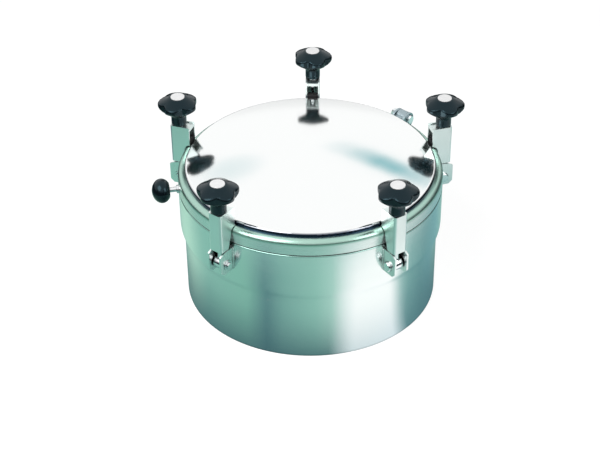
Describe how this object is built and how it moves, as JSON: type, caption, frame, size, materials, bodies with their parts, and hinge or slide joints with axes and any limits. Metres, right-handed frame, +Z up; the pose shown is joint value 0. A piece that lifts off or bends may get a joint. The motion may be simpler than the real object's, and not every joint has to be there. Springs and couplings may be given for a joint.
{
  "type": "tank manway cover",
  "caption": "Round hinged manway cover: a weld-in neck and a domed lid held down by swing-bolt clamps with star knobs, with a side handle.",
  "frame": {"origin": "centre of the neck's lower rim, where it is welded to the tank", "axes": "+Z up along the neck's axis towards the lid, -Y towards the front of the cover between two clamps, +X to its right with the hinge at the rear right"},
  "size_m": [0.4857, 0.4625, 0.3],
  "materials": {
    "neck_steel": "satin ground stainless steel with a faint circumferential grain",
    "lid_steel": "bright polished stainless steel",
    "clamp_steel": "bent stainless sheet, lightly polished",
    "polished_steel": "turned and polished stainless steel",
    "gasket_rubber": "matt black elastomer",
    "pad_rubber": "matt black elastomer",
    "black_bakelite": "moulded gloss black phenolic",
    "cap_white": "white plastic disc",
    "insert_brass": "turned brass",
    "bush_plastic": "natural acetal"
  },
  "bodies": {
    "neck": {"neck_tube": "neck_steel", "neck_collar": "neck_steel", "lid_ring": "lid_steel", "lid_dome": "lid_steel", "rim_gasket": "gasket_rubber", "handle_rod": "polished_steel", "handle_knob": "black_bakelite", "hinge_lug": "clamp_steel", "hinge_arm": "clamp_steel", "hinge_pin": "polished_steel", "hinge_washer": "polished_steel", "hinge_nut": "polished_steel", "hinge_bush": "bush_plastic", "pivot_pins": "polished_steel", "pin_clips": "polished_steel", "clamp_lug_1": "clamp_steel", "clamp_lug_2": "clamp_steel", "clamp_lug_3": "clamp_steel", "clamp_lug_4": "clamp_steel", "clamp_lug_5": "clamp_steel"},
    "bolt_1": {"swing_bolt_1": "polished_steel"},
    "clamp_1": {"clamp_channel_1": "clamp_steel", "rim_pad_1": "pad_rubber", "knob_washer_1": "polished_steel"},
    "knob_1": {"star_knob_1": "black_bakelite", "knob_insert_1": "insert_brass", "knob_cap_1": "cap_white"},
    "bolt_2": {"swing_bolt_2": "polished_steel"},
    "clamp_2": {"clamp_channel_2": "clamp_steel", "rim_pad_2": "pad_rubber", "knob_washer_2": "polished_steel"},
    "knob_2": {"star_knob_2": "black_bakelite", "knob_insert_2": "insert_brass", "knob_cap_2": "cap_white"},
    "bolt_3": {"swing_bolt_3": "polished_steel"},
    "clamp_3": {"clamp_channel_3": "clamp_steel", "rim_pad_3": "pad_rubber", "knob_washer_3": "polished_steel"},
    "knob_3": {"star_knob_3": "black_bakelite", "knob_insert_3": "insert_brass", "knob_cap_3": "cap_white"},
    "bolt_4": {"swing_bolt_4": "polished_steel"},
    "clamp_4": {"clamp_channel_4": "clamp_steel", "rim_pad_4": "pad_rubber", "knob_washer_4": "polished_steel"},
    "knob_4": {"star_knob_4": "black_bakelite", "knob_insert_4": "insert_brass", "knob_cap_4": "cap_white"},
    "bolt_5": {"swing_bolt_5": "polished_steel"},
    "clamp_5": {"clamp_channel_5": "clamp_steel", "rim_pad_5": "pad_rubber", "knob_washer_5": "polished_steel"},
    "knob_5": {"star_knob_5": "black_bakelite", "knob_insert_5": "insert_brass", "knob_cap_5": "cap_white"}
  },
  "joints": [
    {"name": "clamp_swing_1", "type": "hinge", "parent": "neck", "child": "bolt_1", "pos_m": [0.2103, 0.0611, 0.16], "axis": [-0.279, 0.9603, 0], "range_deg": [0, 160]},
    {"name": "clamp_lift_1", "type": "slide", "parent": "bolt_1", "child": "clamp_1", "axis": [0, 0, 1], "range_m": [0, 0.012]},
    {"name": "knob_turn_1", "type": "hinge", "parent": "clamp_1", "child": "knob_1", "pos_m": [0.2103, 0.0611, 0.27], "axis": [0, 0, 1], "range_deg": [0, 2881]},
    {"name": "clamp_swing_2", "type": "hinge", "parent": "neck", "child": "bolt_2", "pos_m": [0.00688, 0.21889, 0.16], "axis": [-0.9995, 0.0314, 0], "range_deg": [0, 160]},
    {"name": "clamp_lift_2", "type": "slide", "parent": "bolt_2", "child": "clamp_2", "axis": [0, 0, 1], "range_m": [0, 0.012]},
    {"name": "knob_turn_2", "type": "hinge", "parent": "clamp_2", "child": "knob_2", "pos_m": [0.00688, 0.21889, 0.27], "axis": [0, 0, 1], "range_deg": [0, 2881]},
    {"name": "clamp_swing_3", "type": "hinge", "parent": "neck", "child": "bolt_3", "pos_m": [-0.20605, 0.07418, 0.16], "axis": [-0.3387, -0.9409, 0], "range_deg": [0, 160]},
    {"name": "clamp_lift_3", "type": "slide", "parent": "bolt_3", "child": "clamp_3", "axis": [0, 0, 1], "range_m": [0, 0.012]},
    {"name": "knob_turn_3", "type": "hinge", "parent": "clamp_3", "child": "knob_3", "pos_m": [-0.20605, 0.07418, 0.27], "axis": [0, 0, 1], "range_deg": [0, 2881]},
    {"name": "clamp_swing_4", "type": "hinge", "parent": "neck", "child": "bolt_4", "pos_m": [-0.13423, -0.17304, 0.16], "axis": [0.7902, -0.6129, 0], "range_deg": [0, 160]},
    {"name": "clamp_lift_4", "type": "slide", "parent": "bolt_4", "child": "clamp_4", "axis": [0, 0, 1], "range_m": [0, 0.012]},
    {"name": "knob_turn_4", "type": "hinge", "parent": "clamp_4", "child": "knob_4", "pos_m": [-0.13423, -0.17304, 0.27], "axis": [0, 0, 1], "range_deg": [0, 2881]},
    {"name": "clamp_swing_5", "type": "hinge", "parent": "neck", "child": "bolt_5", "pos_m": [0.1231, -0.18113, 0.16], "axis": [0.8271, 0.5621, 0], "range_deg": [0, 160]},
    {"name": "clamp_lift_5", "type": "slide", "parent": "bolt_5", "child": "clamp_5", "axis": [0, 0, 1], "range_m": [0, 0.012]},
    {"name": "knob_turn_5", "type": "hinge", "parent": "clamp_5", "child": "knob_5", "pos_m": [0.1231, -0.18113, 0.27], "axis": [0, 0, 1], "range_deg": [0, 2881]}
  ],
  "couplings": [
    {"joint": "knob_turn_1", "follows": "clamp_lift_1", "rad_per_m": 4188.8},
    {"joint": "knob_turn_2", "follows": "clamp_lift_2", "rad_per_m": 4188.8},
    {"joint": "knob_turn_3", "follows": "clamp_lift_3", "rad_per_m": 4188.8},
    {"joint": "knob_turn_4", "follows": "clamp_lift_4", "rad_per_m": 4188.8},
    {"joint": "knob_turn_5", "follows": "clamp_lift_5", "rad_per_m": 4188.8}
  ]
}
